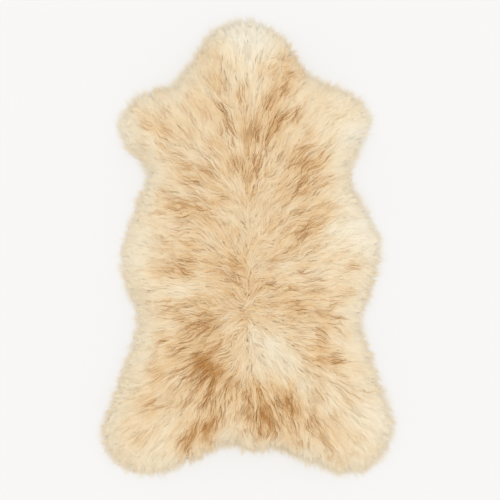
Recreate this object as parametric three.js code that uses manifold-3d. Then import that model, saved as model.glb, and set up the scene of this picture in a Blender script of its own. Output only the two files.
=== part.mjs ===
// A long-haired sheepskin laid flat with its wool up. Millimetres, +Z up, the neck towards +Y.
// It is two solids: the tanned skin, a thin sheet that lies on the floor, and the fleece that grows from
// it, a lumpy slab that hangs over the skin's edge to the floor and ends in loose locks all round.
import * as THREE from "three";
import { ImprovedNoise } from "three/addons/math/ImprovedNoise.js";
import { mergeVertices } from "three/addons/utils/BufferGeometryUtils.js";
import Module from "manifold-3d";

const wasm = await Module();
wasm.setup();

// Driving dimensions
const SKIN_THICKNESS = 2.5;
const SKIN_SHARE = 0.85; // how far out from the spine the skin reaches, the wool's own edge being 1
const SPINE_HALF = 330; // the wool parts along this much of the middle line, each way
const SPINE_LEAN = 0.72; // wool that parts here on the spine reaches the edge 1 / 0.72 times as far along
const END_FAN = 0.45; // how strongly the wool fans out at the neck and the hem, 0 being straight rays
const END_FROM = 250; // how far from the middle that fanning starts,
const END_FULL = 450; // and how far it has its full strength
const FLEECE_HEIGHT = 49; // crown of the slab over the floor, before its lumps
const LUMP_HEIGHT = 11;
const LUMP_SPACING = 58;
const TUFT_HEIGHT = 7; // the narrower tufts near the rim, which run outwards as the wool is combed
const TUFT_JUT = 5; // how far they stand out sideways
const TUFT_WIDTH = 34;
const TUFT_LENGTH = 88;
const SEAT_GAP = 0.3; // between the skin and the wool over it
const EDGE_GAP = 0.6; // between the skin's edge and the wool round it
const HALF_WIDTH = 280; // from the spine to the wool's edge at the flanks
const STATIONS = 132; // corners round the outline
const LOCKS = 156; // loose locks round the rim
const LOCK_SIDES = 3;
const LOCK_STEPS = 4;
const LOCK_WIDTH = 27;
const LOCK_THICKNESS = 17;
const LOCK_TAPER = 0.55; // 1 tapers straight to the point, less is blunter
const LOCK_ROOT_IN = 32; // how far inside the wool's edge a lock starts
const LOCK_ROOT_HEIGHT = 8; // underside of a lock's root over the floor
const LOCK_REACH = 5; // how far past the wool's edge a lock's tip lies, on average
const LOCK_REACH_SPREAD = 8;
const LOCK_TURN = 0.7; // radians, the range of ways that locks point
const LOCK_WAVE = 12; // the range of their sideways waves

// Where the wool's edge lies, going round anticlockwise from the neck as seen from above.
const OUTLINE = [
  { at: "neck crown", x: -5, y: 512 },
  { at: "neck left crest", x: -80, y: 484 },
  { at: "neck left base", x: -116, y: 430 },
  { at: "neck left flare", x: -153, y: 386 },
  { at: "collar left", x: -163, y: 364 },
  { at: "shoulder left crest", x: -248, y: 340 },
  { at: "shoulder left tip", x: -290, y: 272 },
  { at: "shoulder left heel", x: -268, y: 220 },
  { at: "armpit left", x: -226, y: 170 },
  { at: "flank left upper", x: -250, y: 92 },
  { at: "flank left", x: -283, y: -24 },
  { at: "flank left lower", x: -275, y: -84 },
  { at: "waist left", x: -247, y: -161 },
  { at: "haunch left upper", x: -286, y: -300 },
  { at: "haunch left tip", x: -328, y: -430 },
  { at: "hind leg left heel", x: -300, y: -486 },
  { at: "hind leg left", x: -227, y: -515 },
  { at: "hind leg left inner", x: -125, y: -482 },
  { at: "tail left", x: -44, y: -449 },
  { at: "tail", x: 15, y: -465 },
  { at: "tail right", x: 62, y: -457 },
  { at: "hind leg right inner", x: 123, y: -482 },
  { at: "hind leg right", x: 231, y: -513 },
  { at: "hind leg right heel", x: 296, y: -485 },
  { at: "haunch right tip", x: 327, y: -418 },
  { at: "haunch right upper", x: 287, y: -280 },
  { at: "waist right", x: 255, y: -166 },
  { at: "flank right lower", x: 281, y: -94 },
  { at: "flank right", x: 299, y: 6 },
  { at: "flank right upper", x: 266, y: 84 },
  { at: "armpit right", x: 226, y: 172 },
  { at: "shoulder right heel", x: 252, y: 218 },
  { at: "shoulder right tip", x: 277, y: 286 },
  { at: "shoulder right crest", x: 247, y: 336 },
  { at: "collar right", x: 166, y: 372 },
  { at: "neck right base", x: 124, y: 402 },
  { at: "neck right crest", x: 78, y: 474 },
];

// Half sections, from the underside's middle out to the edge and back over the top. SEAT is the room that
// the skin takes out of the fleece. share runs from 0 on the spine to 1 at the wool's edge, out adds
// millimetres to it, z is a height over the floor, and lumps says how much of the lumps' height a row has.
const SKIN_SECTION = [
  { share: 0.1, out: 0, z: 0, lumps: 0 },
  { share: SKIN_SHARE, out: 0, z: 0, lumps: 0 },
  { share: SKIN_SHARE, out: 0, z: SKIN_THICKNESS, lumps: 0 },
  { share: 0.1, out: 0, z: SKIN_THICKNESS, lumps: 0 },
];
const SEAT_SECTION = [
  { share: 0.1, out: 0, z: -SEAT_GAP, lumps: 0 },
  { share: SKIN_SHARE, out: EDGE_GAP, z: -SEAT_GAP, lumps: 0 },
  { share: SKIN_SHARE, out: EDGE_GAP, z: SKIN_THICKNESS + SEAT_GAP, lumps: 0 },
  { share: 0.1, out: 0, z: SKIN_THICKNESS + SEAT_GAP, lumps: 0 },
];
const FLEECE_SECTION = [
  { share: 0.1, out: 0, z: 0, lumps: 0 },
  { share: 0.93, out: 0, z: 0, lumps: 0 },
  { share: 0.958, out: 0, z: 0.12 * FLEECE_HEIGHT, lumps: 0.1 },
  { share: 0.955, out: 0, z: 0.28 * FLEECE_HEIGHT, lumps: 0.3 },
  { share: 0.925, out: 0, z: 0.46 * FLEECE_HEIGHT, lumps: 0.6 },
  { share: 0.88, out: 0, z: 0.62 * FLEECE_HEIGHT, lumps: 0.9 },
  { share: 0.815, out: 0, z: 0.76 * FLEECE_HEIGHT, lumps: 1 },
  { share: 0.735, out: 0, z: 0.87 * FLEECE_HEIGHT, lumps: 1 },
  { share: 0.645, out: 0, z: 0.94 * FLEECE_HEIGHT, lumps: 1 },
  { share: 0.55, out: 0, z: 0.98 * FLEECE_HEIGHT, lumps: 1 },
  { share: 0.45, out: 0, z: FLEECE_HEIGHT, lumps: 1 },
  { share: 0.34, out: 0, z: FLEECE_HEIGHT, lumps: 1 },
  { share: 0.22, out: 0, z: FLEECE_HEIGHT, lumps: 1 },
  { share: 0.12, out: 0, z: FLEECE_HEIGHT, lumps: 1 },
  { share: 0.04, out: 0, z: FLEECE_HEIGHT, lumps: 1 },
];

const outline = new THREE.CatmullRomCurve3(
  OUTLINE.map(({ x, y }) => new THREE.Vector3(x, y, 0)),
  true,
  "centripetal",
);
outline.arcLengthDivisions = 1200;

// How the wool runs from the spine out to one corner of the outline. It parts at (0, from), and its way
// out bends: near the neck and the hem it fans out first and then turns along the body.
function combing(turn) {
  const edge = outline.getPointAt(turn);
  const from = THREE.MathUtils.clamp(SPINE_LEAN * edge.y, -SPINE_HALF, SPINE_HALF);
  const fan = 1 - END_FAN * THREE.MathUtils.smoothstep(Math.abs(edge.y), END_FROM, END_FULL);
  const outward = new THREE.Vector3(fan * edge.x, edge.y - from, 0).normalize();
  return { edge, from, fan, outward };
}

// The point that lies a share of the way from the spine to the wool's edge.
function across({ edge, from, fan, outward }, share, out) {
  const y = THREE.MathUtils.lerp(from, edge.y, share);
  return new THREE.Vector3(edge.x * Math.pow(share, fan), y, 0).addScaledVector(outward, out);
}

// The tufts near the rim, -1 to 1. They run outwards as the wool is combed, and are read off a ring as
// long as the outline, so they close up where they meet.
const noise = new ImprovedNoise();
function tuftAt(turn, share) {
  const angle = turn * 2 * Math.PI;
  const ring = outline.getLength() / (2 * Math.PI * TUFT_WIDTH);
  const outwards = (share * HALF_WIDTH) / TUFT_LENGTH;
  const tuft = noise.noise(ring * Math.cos(angle), ring * Math.sin(angle), outwards);
  return tuft * THREE.MathUtils.smoothstep(share, 0.45, 0.85);
}

// How far the lumps raise or lower a point of the slab's top.
function lumpAt(point, tuft) {
  const swell = noise.noise(point.x / LUMP_SPACING, point.y / LUMP_SPACING, 3.7);
  return LUMP_HEIGHT * swell + TUFT_HEIGHT * tuft;
}

// A closed slab that follows the outline: a lathe whose every turn is stretched to its own reach, with
// its two open ends at the spine filled in.
function slabGeometry(section) {
  const profile = section.map(({ share, z }) => new THREE.Vector2(share, z));
  const geometry = new THREE.LatheGeometry(profile, STATIONS);
  const position = geometry.getAttribute("position");
  for (let i = 0; i < position.count; i += 1) {
    const row = section[i % section.length];
    const turn = (Math.floor(i / section.length) % STATIONS) / STATIONS;
    const tuft = row.lumps ? tuftAt(turn, row.share) : 0;
    const point = across(combing(turn), row.share, row.out + TUFT_JUT * tuft);
    const lift = row.lumps ? row.lumps * lumpAt(point, tuft) : 0;
    position.setXYZ(i, point.x, point.y, row.z + lift);
  }
  const first = fillAt(section.length, 0).map(([a, b, c]) => [a, c, b]);
  const last = fillAt(section.length, section.length - 1);
  geometry.setIndex([...geometry.index.array, ...first.flat(), ...last.flat()]);
  return geometry;
}

// Triangles that fill the narrow ring that one row of a lathe makes, facing up. They run straight across
// it, from each station to the one that faces it over the spine.
function fillAt(rows, row) {
  const triangles = [];
  for (let station = 0; station < STATIONS / 2; station += 1) {
    const facing = STATIONS - station;
    const [a, b, c, d] = [station, station + 1, facing - 1, facing].map((k) => k * rows + row);
    if (b < c) triangles.push([a, b, c]);
    if (facing < STATIONS) triangles.push([a, c, d]);
  }
  return triangles;
}

// The same surface as points and triangles alone, with its seams closed.
function weld(geometry) {
  const bare = geometry.clone();
  bare.deleteAttribute("normal");
  bare.deleteAttribute("uv");
  const welded = mergeVertices(bare, 1e-3);
  welded.computeVertexNormals();
  return welded;
}

// Numbers between 0 and 1 that look random and are the same each time.
function scatter(index, salt) {
  const wave = Math.sin(index * 127.1 + salt * 311.7) * 43758.5453;
  return wave - Math.floor(wave);
}

// The line that the underside of a lock follows: out of the slab inside its edge, down to the floor and
// along it past the edge, with a sideways wave.
function lockPath(edge, way, sideways, index) {
  const reach = LOCK_REACH + LOCK_REACH_SPREAD * (2 * scatter(index, 3) - 1);
  const wave = LOCK_WAVE * (scatter(index, 4) - 0.5);
  const points = [
    { along: -LOCK_ROOT_IN, side: 0, z: LOCK_ROOT_HEIGHT },
    { along: -0.6 * LOCK_ROOT_IN, side: wave, z: 0.3 * LOCK_ROOT_HEIGHT },
    { along: -0.25 * LOCK_ROOT_IN, side: 0, z: 0 },
    { along: reach, side: -wave, z: 0 },
  ];
  return new THREE.CatmullRomCurve3(
    points.map(({ along, side, z }) =>
      edge.clone().addScaledVector(way, along).addScaledVector(sideways, side).setZ(z),
    ),
  );
}

// Which way a lock points: between the way the wool is combed and straight out of the edge, give or take.
function lockWay(turn, outward, index) {
  const along = outline.getTangentAt(turn);
  const straight = new THREE.Vector3(along.y, -along.x, 0);
  const way = outward.clone().add(straight).normalize();
  return way.applyAxisAngle(new THREE.Vector3(0, 0, 1), LOCK_TURN * (scatter(index, 2) - 0.5));
}

// One loose lock of wool: a three-sided strand that rests on its flat underside and tapers to a point.
function lockGeometry(index) {
  const turn = (index + 0.4 * scatter(index, 1)) / LOCKS;
  const { edge, outward } = combing(turn);
  const way = lockWay(turn, outward, index);
  const sideways = new THREE.Vector3(-way.y, way.x, 0);
  const path = lockPath(edge, way, sideways, index);
  const size = 0.65 + 0.6 * scatter(index, 5);
  const geometry = new THREE.CylinderGeometry(0, 0.5, 1, LOCK_SIDES, LOCK_STEPS);
  const position = geometry.getAttribute("position");
  for (let i = 0; i < position.count; i += 1) {
    const step = position.getY(i) + 0.5;
    const plump = size * Math.pow(Math.max(1 - step, 0.01), LOCK_TAPER - 1);
    const underside = -0.25 * (1 - step);
    const point = path.getPoint(step);
    point.addScaledVector(sideways, -position.getX(i) * LOCK_WIDTH * plump);
    const rise = (position.getZ(i) - underside) * LOCK_THICKNESS * plump;
    position.setXYZ(i, point.x, point.y, Math.max(point.z, 0) + Math.max(rise, 0));
  }
  return geometry;
}

function toSolid(geometry) {
  const welded = weld(geometry);
  const mesh = new wasm.Mesh({
    numProp: 3,
    vertProperties: welded.getAttribute("position").array,
    triVerts: new Uint32Array(welded.index.array),
  });
  return new wasm.Manifold(mesh);
}

function toGeometry(solid) {
  const { numProp, numVert, vertProperties, triVerts } = solid.getMesh();
  const position = new Float32Array(numVert * 3);
  for (let i = 0; i < numVert; i += 1) {
    position.set(vertProperties.subarray(i * numProp, i * numProp + 3), i * 3);
  }
  const geometry = new THREE.BufferGeometry();
  geometry.setAttribute("position", new THREE.BufferAttribute(position, 3));
  geometry.setIndex(new THREE.BufferAttribute(triVerts, 1));
  geometry.computeVertexNormals();
  return geometry;
}

function makeSkin() {
  const suede = new THREE.MeshStandardMaterial({ color: 0xd9c7a8, roughness: 0.9, metalness: 0 });
  const skin = new THREE.Mesh(weld(slabGeometry(SKIN_SECTION)), suede);
  skin.name = "skin";
  return skin;
}

function makeFleece() {
  let solid = toSolid(slabGeometry(FLEECE_SECTION));
  for (let index = 0; index < LOCKS; index += 1) {
    solid = solid.add(toSolid(lockGeometry(index)));
  }
  solid = solid.subtract(toSolid(slabGeometry(SEAT_SECTION)));
  const wool = new THREE.MeshStandardMaterial({ color: 0xe9d3a9, roughness: 1, metalness: 0 });
  const fleece = new THREE.Mesh(toGeometry(solid), wool);
  fleece.name = "fleece";
  return fleece;
}

// The origin is on the floor under the middle of the whole skin.
const sheepskin = new THREE.Group();
sheepskin.add(makeSkin(), makeFleece());
const middle = new THREE.Box3().setFromObject(sheepskin).getCenter(new THREE.Vector3());
sheepskin.position.set(-middle.x, -middle.y, 0);

export default sheepskin;
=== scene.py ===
"""The looks of a long-haired sheepskin that lies flat with its wool up.

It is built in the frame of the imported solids: metres, +Z up, the neck towards +Y. A leather sheet stands
for the solid skin. A bed of underwool stands for the solid fleece, and from it grow the long wavy locks
of the outer coat and the short hair of the inner one.
"""

import functools
import math

import bmesh
import bpy
import numpy as np
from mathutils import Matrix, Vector
from mathutils.bvhtree import BVHTree


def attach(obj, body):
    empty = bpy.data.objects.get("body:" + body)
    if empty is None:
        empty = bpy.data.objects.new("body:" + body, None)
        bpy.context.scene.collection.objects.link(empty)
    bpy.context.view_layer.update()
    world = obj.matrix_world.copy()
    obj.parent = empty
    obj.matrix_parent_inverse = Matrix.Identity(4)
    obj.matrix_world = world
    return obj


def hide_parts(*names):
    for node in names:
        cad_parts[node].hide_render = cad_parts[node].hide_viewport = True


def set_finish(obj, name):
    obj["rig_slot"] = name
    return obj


bl_info = {
    "name": "Sheepskin",
    "version": (1, 0, 0),
    "blender": (4, 5, 0),
    "location": "3D View > Sidebar > Sheepskin",
    "description": "Builds a long-haired sheepskin that lies flat with its wool up",
    "category": "Object",
}

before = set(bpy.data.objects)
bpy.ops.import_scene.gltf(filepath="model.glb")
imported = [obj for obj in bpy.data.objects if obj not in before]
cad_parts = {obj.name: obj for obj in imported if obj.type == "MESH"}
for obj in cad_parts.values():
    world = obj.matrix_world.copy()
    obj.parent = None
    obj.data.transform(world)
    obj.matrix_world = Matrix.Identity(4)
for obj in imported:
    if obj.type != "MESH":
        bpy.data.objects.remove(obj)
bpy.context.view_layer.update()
MM = 0.001

# Where the wool's edge lies, in millimetres, going round anticlockwise from the neck as seen from above.
OUTLINE = (
    ("neck crown", -5, 512),
    ("neck left crest", -80, 484),
    ("neck left base", -116, 430),
    ("neck left flare", -153, 386),
    ("collar left", -163, 364),
    ("shoulder left crest", -248, 340),
    ("shoulder left tip", -290, 272),
    ("shoulder left heel", -268, 220),
    ("armpit left", -226, 170),
    ("flank left upper", -250, 92),
    ("flank left", -283, -24),
    ("flank left lower", -275, -84),
    ("waist left", -247, -161),
    ("haunch left upper", -286, -300),
    ("haunch left tip", -328, -430),
    ("hind leg left heel", -300, -486),
    ("hind leg left", -227, -515),
    ("hind leg left inner", -125, -482),
    ("tail left", -44, -449),
    ("tail", 15, -465),
    ("tail right", 62, -457),
    ("hind leg right inner", 123, -482),
    ("hind leg right", 231, -513),
    ("hind leg right heel", 296, -485),
    ("haunch right tip", 327, -418),
    ("haunch right upper", 287, -280),
    ("waist right", 255, -166),
    ("flank right lower", 281, -94),
    ("flank right", 299, 6),
    ("flank right upper", 266, 84),
    ("armpit right", 226, 172),
    ("shoulder right heel", 252, 218),
    ("shoulder right tip", 277, 286),
    ("shoulder right crest", 247, 336),
    ("collar right", 166, 372),
    ("neck right base", 124, 402),
    ("neck right crest", 78, 474),
)
MIDDLE = (0.5, -1.9)  # the middle of the solids' box, in that table's millimetres
CURVE_STEPS = 40  # points that the curve through the table has from one row to the next
EDGE_POINTS = 720  # points that the edge is then made of, evenly spread
EDGE_EVENED = 6  # how many of them to each side the way out of the edge is evened over

# Where the coat is darker or paler than round about: x, y, radius in millimetres, and how much darker. Some
# of the darker ones are painted shade: in the valleys between the lobes, and at the left hind leg's rim.
PATCHES = (
    ("neck left side", -82, 405, 34, 0.11),
    ("neck right side", 110, 385, 34, 0.29),
    ("neck right crest", 94, 435, 26, 0.24),
    ("withers right", 53, 313, 40, 0.07),
    ("withers", 66, 275, 32, 0.07),
    ("spine upper", 8, 245, 34, 0.11),
    ("spine middle", 6, 165, 36, 0.14),
    ("shoulder left inner", -112, 182, 28, 0.1),
    ("ribs left upper", -98, 152, 24, 0.11),
    ("shoulder right inner", 148, 178, 28, 0.24),
    ("ribs right upper", 130, 125, 32, 0.13),
    ("ribs left", -141, 86, 34, 0.1),
    ("ribs left inner", -92, 62, 28, 0.04),
    ("ribs right", 154, 58, 30, 0.23),
    ("ribs right inner", 128, 28, 30, 0.11),
    ("whorl", -26, -35, 24, 0.19),
    ("whorl lower", -19, -78, 26, 0.11),
    ("flank left", -161, -48, 38, 0.1),
    ("loin right", 112, -121, 40, 0.11),
    ("loin left", -98, -170, 32, 0.2),
    ("haunch left upper", -155, -236, 34, 0.11),
    ("haunch left", -104, -260, 27, 0.36),
    ("haunch left lower", -76, -290, 27, 0.36),
    ("haunch right upper", 150, -245, 32, 0.3),
    ("rump right", 82, -330, 30, 0.35),
    ("rump", 10, -335, 30, 0.2),
    ("tail right", 40, -385, 34, 0.3),
    ("leg left inner", -94, -420, 36, 0.37),
    ("leg left heel", -136, -450, 26, 0.26),
    ("leg right inner", 168, -387, 26, 0.04),
    ("foreleg left", -250, 305, 24, 0.17),
    ("foreleg left inner", -215, 262, 24, 0.14),
    ("shoulder left middle", -122, 204, 38, -0.12),
    ("withers right outer", 135, 270, 36, -0.12),
    ("ribs right crest", 95, 181, 26, 0.12),
    ("flank right lower", 183, -60, 34, -0.12),
    ("haunch left crest", -78, -225, 26, 0.15),
    ("haunch left heel", -83, -349, 24, 0.12),
    ("rump left", -50, -306, 22, 0.1),
    ("tail right edge", 70, -434, 34, 0.23),
    ("tail", 24, -430, 24, 0.08),
    ("leg right heel", 112, -447, 24, 0.18),
    ("leg left middle", -192, -408, 42, -0.15),
    ("waist left", -148, -187, 28, -0.12),
    ("tail left", -15, -424, 24, 0.12),
    ("neck left crest", -84, 440, 26, 0.12),
    ("leg left edge", -146, -474, 26, 0.12),
    ("leg right edge", 200, -482, 40, 0.1),
    ("spine lower", 5, 62, 30, -0.1),
    ("loin left upper", -97, -128, 26, 0.12),
    ("flank left upper", -205, 21, 30, -0.07),
    ("neck crown", 3, 455, 62, -0.45),
    ("shoulder left", -255, 262, 50, -0.15),
    ("shoulder right", 245, 255, 60, -0.25),
    ("flank left edge", -245, -15, 60, -0.15),
    ("flank right edge", 240, 40, 75, -0.3),
    ("loin left edge", -150, -95, 30, -0.2),
    ("croup right", 62, -240, 60, -0.3),
    # darker as painted shade at the left hind leg's rim
    ("leg left", -220, -410, 75, 0.03),
    ("leg right", 245, -380, 75, -0.15),
)

# How steeply the wool is combed up the hide (down it, behind the turn), beside the spine and at the sides:
# where along the hide it turns, then for each way the steepest slope in degrees and the length it takes.
COMBED = (
    ("beside the spine", -150, (66, 300), (90, 170)),
    ("at the sides", -75, (48, 400), (60, 330)),
)
# Where it turns off that rule: x, y, radius in millimetres, and how many degrees anticlockwise.
COWLICKS = (
    ("ribs left", -100, 150, 80, 24),
    ("flank left upper", -150, 55, 70, 20),
    ("flank left", -110, -55, 60, 14),
    ("shoulder left tip", -266, 208, 40, -15),
    ("shoulder right", 186, 195, 60, -14),
    ("haunch left", -190, -320, 100, -15),
    ("haunch right", 174, -245, 75, 20),
    ("leg right", 200, -345, 80, 12),
)
SPINE_HALF = 30 * MM  # the wool runs straight up or down the hide within about this of the spine
SIDE_FROM, SIDE_TO = 60 * MM, 250 * MM  # from the spine to where the comb of the sides starts, and is full
RIM_TURN = 50 * MM  # this far inside its edge the wool starts to turn straight outwards
RIM_PULL = 1.1  # how strongly it does so
COMB_UNEVEN = 0.2  # radians, how far it wanders off its comb

BACK_CENTRE_Y = -75 * MM  # round here, along the back, the wool stands up
BACK_HALF_LENGTH = 150 * MM
BACK_NEAR, BACK_FAR = 15 * MM, 125 * MM  # from the back's line, how far it stands up fully, and at all
REACH_SHORT = 52 * MM  # how far a hair of the back lies outwards
CROSSING = 26 * MM  # how far hairs of the back cross over its parting

PLAIN_TONE = 0.562  # how dark the coat is in general, 0 for cream to 1 for brown
CLOUDS = ((0.04, 45 * MM, 21), (0.015, 18 * MM, 22))  # how much it drifts, over what size, and a seed
RIM_PALER = 0.23  # how much paler it is at its edge
RIM_PALE = 95 * MM  # how far in it is paler at all
PATCH_LENGTHWISE, PATCH_ACROSS = 0.7, 1.3  # a patch is long the way the hair lies
MARKED_FROM, MARKED_TO = 0.3, 0.8  # the tone at which streaks start to show, and show fully
FINE_STREAK, FINE_STREAK_MARKED, BROAD_STREAK = 0.01, 0.04, 0.02  # how much streaks darken it

BLOCK = 4096  # points worked on at once
CHART_STEP = 3.5 * MM  # from one point of a chart of the hide to the next
CHART_X = np.arange(-0.39, 0.39, CHART_STEP)
CHART_Y = np.arange(-0.58, 0.58, CHART_STEP)
HEIGHT_EVENED = 14  # how often the chart of the wool's height is blurred, so that hair lies softly
FLOOR_CLEAR = 0.4 * MM  # the lowest that a hair lies over the floor
FLOOR_LAYER = 1.8 * MM  # how deep the hairs that reach the floor lie over one another
ROOTS_HALF_X, ROOTS_HALF_Y = 0.35, 0.53  # roots are looked for in a box of this half size
ROW_SHARE = 0.866  # from one row of roots to the next, as a share of their spacing
ROOT_JITTER = 0.42  # how far a root may be off its place, as a share of the same
ROOT_DEPTH = 5 * MM  # how deep in the underwool a hair starts
LEATHER_TOP = 3 * MM  # the lowest that the top of the underwool may lie
SHARP_ANGLE = math.radians(50)  # faces that meet at more than this show an edge
TOUCHING = 0.01 * MM  # nearer than this, two points are one
BED_EDGE = 11 * MM  # the longest edge of the underwool's faces
BED_DEPTH = 1.2 * MM  # how far under the solid fleece's face the underwool lies
BED_LUMPS = 0.5 * MM  # how high its lumps are
BED_LEAST = 0.3  # the share of the solid fleece's height that it keeps at its rim
DRAWN_IN = 26 * MM  # nearer the wool's edge than this, the underwool is drawn in
DRAWN_SHARE = 0.8  # by this share of what is missing
SHORTEST, LONGEST = 8 * MM, 160 * MM  # how far out a hair lies, at the least and at the most
EASED_IN = 52 * MM  # this far inside its edge the wool starts to come down to the floor
EASED_OUT = 10 * MM  # and this far past the edge it is down
LEAN = 0.45  # how much of the surface's slope its hair shades by
LOCK_ROUND = 0.35  # how far a lock's sides lean out in its shading
HAIR_TWIST = 2.4  # radians, how far a hair may turn over along its length
CELL_LONG = 5  # how much longer than wide a hair's cell of the baked map is
CELL_ACROSS, CELL_ALONG = 0.7, 0.9  # how much of its cell a hair fills

VIEW_MIDDLE = (5.1 * MM, -6.0 * MM)  # what the camera looks straight down at
VIEW_WIDTH = 1.129  # how much it sees across, at this height
VIEW_HEIGHT = 15 * MM
FLOOR_HALF = 4.0
LAMP_SOFTNESS = math.radians(60)
LAMP_SHINES = (-0.4, -0.2, -1)  # which way

# The pieces that the coat is made in: name, from y, to y, and -1 for left, 1 for right, 0 for both.
REGIONS = (
    ("neck", 0.29, 0.60, 0),
    ("left_shoulder", 0.10, 0.29, -1),
    ("right_shoulder", 0.10, 0.29, 1),
    ("left_flank", -0.16, 0.10, -1),
    ("right_flank", -0.16, 0.10, 1),
    ("left_haunch", -0.60, -0.16, -1),
    ("right_haunch", -0.60, -0.16, 1),
)
DOWN_REGIONS = (
    ("front", 0.05, 0.60, 0),
    ("rear", -0.60, 0.05, 0),
)


def linear(hex_colour):
    """An sRGB hex colour as linear red, green, blue and alpha."""
    parts = [int(hex_colour[i : i + 2], 16) / 255 for i in (1, 3, 5)]
    return (*(c / 12.92 if c <= 0.04045 else ((c + 0.055) / 1.055) ** 2.4 for c in parts), 1.0)


def colour_property(name, hex_colour, description):
    """A colour setting with an sRGB hex default."""
    return bpy.props.FloatVectorProperty(
        name=name,
        description=description,
        default=linear(hex_colour),
        size=4,
        min=0.0,
        max=1.0,
        subtype="COLOR",
    )


def length_property(name, millimetres, description):
    """A length setting."""
    return bpy.props.FloatProperty(
        name=name, description=description, default=millimetres * MM, min=0.0, unit="LENGTH", precision=4
    )


class SheepskinCoat(bpy.types.PropertyGroup):
    """Sizes and colours of the wool."""

    lock_spacing: length_property("Lock spacing", 14, "From one lock's root to the next")
    lock_hairs: bpy.props.IntProperty(
        name="Hairs in a lock", description="Strands drawn for each lock", default=10, min=1
    )
    lock_half_width: length_property("Lock half width", 7, "From a lock's middle to its side, at its root")
    guard_spacing: length_property("Guard hair spacing", 27, "From one wisp of dark top hair to the next")
    guard_hairs: bpy.props.IntProperty(
        name="Hairs in a wisp", description="Strands drawn for each wisp of dark top hair", default=6, min=1
    )
    tuft_spacing: length_property("Tuft spacing", 11, "From one tuft of the inner coat to the next")
    tuft_hairs: bpy.props.IntProperty(
        name="Hairs in a tuft", description="Strands drawn for each tuft", default=2, min=1
    )
    hair_length: length_property("Hair length", 112, "How far a lock lies outwards")
    hair_width: length_property("Hair width", 1.5, "Width of a drawn strand, a few real hairs together")
    wave_length: length_property("Wave length", 40, "From one wave of a lock to the next")
    wave_height: length_property("Wave height", 3, "How far a wave swings to each side")
    overshoot: length_property("Rim reach", 13, "How far the longest locks lie past the wool's edge")
    fringe_spacing: length_property("Fringe spacing", 4.8, "From one fine hair of the rim to the next")
    fringe_reach: length_property("Fringe reach", 22, "How far the longest lie past the wool's edge")
    seed: bpy.props.IntProperty(name="Seed", description="Another number gives another coat", default=7)
    cream: colour_property("Cream", "#F2EAD6", "Palest hair, at the rim and the tips")
    straw: colour_property("Straw", "#EFDDBC", "Most of the hair")
    tan: colour_property("Tan", "#E3C08F", "Darker hair and roots")
    brown: colour_property("Brown", "#B27A38", "The darkest streaks")


class SheepskinLeather(bpy.types.PropertyGroup):
    """Sizes and colours of the tanned skin."""

    suede: colour_property("Suede", "#D9C3A0", "The sueded flesh side")
    suede_dark: colour_property("Dark suede", "#BFA27A", "Where its nap is pressed or stained by tanning")
    nap: length_property("Nap", 1.2, "Size of the nap's specks")


class SheepskinStage(bpy.types.PropertyGroup):
    """The floor, the light and the camera."""

    floor: colour_property("Floor", "#EAE9E8", "Colour of the floor")
    sky: bpy.props.FloatProperty(
        name="Sky", description="Strength of the light from all round", default=1.03, min=0.0
    )
    lamp: bpy.props.FloatProperty(
        name="Lamp", description="Strength of the large soft lamp", default=0.4, min=0.0
    )
    camera_height: length_property("Camera height", 2500, "How high the camera hangs over the floor")


def add_node(tree, kind, inputs=None, output=None, **settings):
    """Adds a node with its settings, sets or links its inputs by name or number, and returns an output."""
    node = tree.nodes.new(kind)
    for name, value in settings.items():
        setattr(node, name, value)
    for name, value in (inputs or {}).items():
        socket = node.inputs[name] if isinstance(name, int) else next(
            s for s in node.inputs if s.name == name and s.enabled
        )
        if isinstance(value, bpy.types.NodeSocket):
            tree.links.new(value, socket)
        else:
            socket.default_value = value
    found = [s for s in node.outputs if s.enabled and output in (None, s.name)]
    return found[0] if found else None


def new_object(name, data):
    """An object with that mesh, lamp or camera, in the scene."""
    obj = bpy.data.objects.new(name, data)
    bpy.context.scene.collection.objects.link(obj)
    return obj


def smoothstep(value, low, high):
    """0 below low, 1 above high, and a smooth rise between them."""
    share = np.clip((value - low) / (high - low), 0.0, 1.0)
    return share * share * (3.0 - 2.0 * share)


def unit(vectors):
    """The vectors, one long each."""
    return vectors / np.maximum(np.linalg.norm(vectors, axis=1, keepdims=True), 1e-9)


def turned(vectors, angle):
    """Plan vectors turned anticlockwise by an angle each."""
    cosine, sine = np.cos(angle), np.sin(angle)
    x, y = vectors[:, 0], vectors[:, 1]
    return np.stack([x * cosine - y * sine, x * sine + y * cosine], 1)


def soft_noise(points, size, seed):
    """Smooth numbers from about -1 to 1 over plan points, with lumps of about that size."""
    rng = np.random.default_rng(seed)
    total = np.zeros(len(points))
    for _ in range(8):
        angle, start = rng.uniform(0, 2 * math.pi, 2)
        pace = rng.uniform(0.55, 1.6) * math.pi / size
        total += np.cos(points @ (pace * np.array([math.cos(angle), math.sin(angle)])) + start)
    return total / 2.8


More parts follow.
